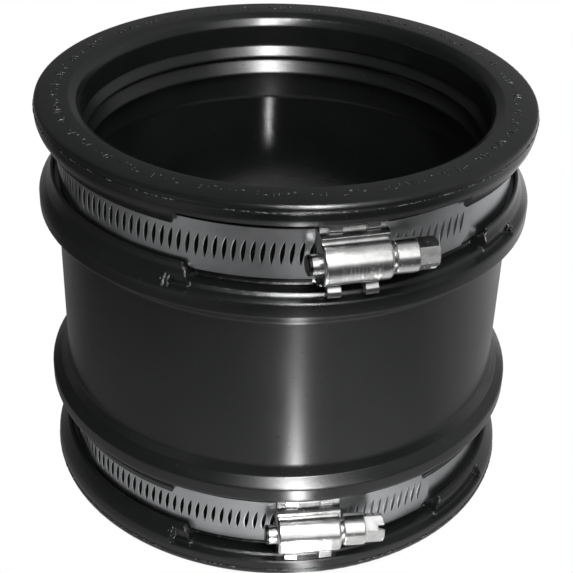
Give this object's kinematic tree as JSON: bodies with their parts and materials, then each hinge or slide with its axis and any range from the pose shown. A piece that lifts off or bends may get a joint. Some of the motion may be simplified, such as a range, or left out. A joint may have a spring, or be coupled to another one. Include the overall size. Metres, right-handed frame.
{
  "type": "flexible pipe coupling",
  "caption": "Flexible rubber sleeve coupling for joining plain-ended drain pipes, with a worm-drive steel band clamp around each end.",
  "frame": {"origin": "centre of the sleeve's bore at mid-length", "axes": "+Z along the sleeve's axis towards the upper face; the clamp screws are on the -Y side with their hexagon heads towards +X"},
  "size_m": [0.1429, 0.1482, 0.12],
  "materials": {
    "rubber": "semi-gloss moulded",
    "band_steel": "satin rolled",
    "plated_steel": "bright pressed",
    "screw_steel": "bright zinc plated"
  },
  "bodies": {
    "sleeve": {"sleeve": "rubber"},
    "upper_clamp": {"upper_housing": "plated_steel", "upper_saddle": "plated_steel"},
    "upper_screw": {"upper_screw": "screw_steel"},
    "upper_band": {"upper_band": "band_steel"},
    "lower_clamp": {"lower_housing": "plated_steel", "lower_saddle": "plated_steel"},
    "lower_screw": {"lower_screw": "screw_steel"},
    "lower_band": {"lower_band": "band_steel"}
  },
  "joints": [
    {"name": "upper_clamp_turn", "type": "hinge", "parent": "sleeve", "child": "upper_clamp", "pos_m": [0, 0, 0.04385], "axis": [0, 0, 1], "range_deg": [-24, 18]},
    {"name": "upper_screw_turn", "type": "hinge", "parent": "upper_clamp", "child": "upper_screw", "pos_m": [0.0183, -0.06829, 0.04385], "axis": [-0.9659, -0.2588, 0], "range_deg": [-1080, 6480]},
    {"name": "upper_band_feed", "type": "hinge", "parent": "upper_clamp", "child": "upper_band", "pos_m": [0, 0, 0.04385], "axis": [0, 0, 1], "range_deg": [-6.4, 37.9]},
    {"name": "lower_clamp_turn", "type": "hinge", "parent": "sleeve", "child": "lower_clamp", "pos_m": [0, 0, -0.0441], "axis": [0, 0, 1], "range_deg": [-18, 20]},
    {"name": "lower_screw_turn", "type": "hinge", "parent": "lower_clamp", "child": "lower_screw", "pos_m": [0.01008, -0.06998, -0.0441], "axis": [-0.9898, -0.1426, 0], "range_deg": [-1080, 6480]},
    {"name": "lower_band_feed", "type": "hinge", "parent": "lower_clamp", "child": "lower_band", "pos_m": [0, 0, -0.0441], "axis": [0, 0, 1], "range_deg": [-6.4, 37.9]}
  ],
  "couplings": [
    {"joint": "upper_band_feed", "follows": "upper_screw_turn", "ratio": 0.0058333},
    {"joint": "lower_band_feed", "follows": "lower_screw_turn", "ratio": 0.0058333}
  ]
}
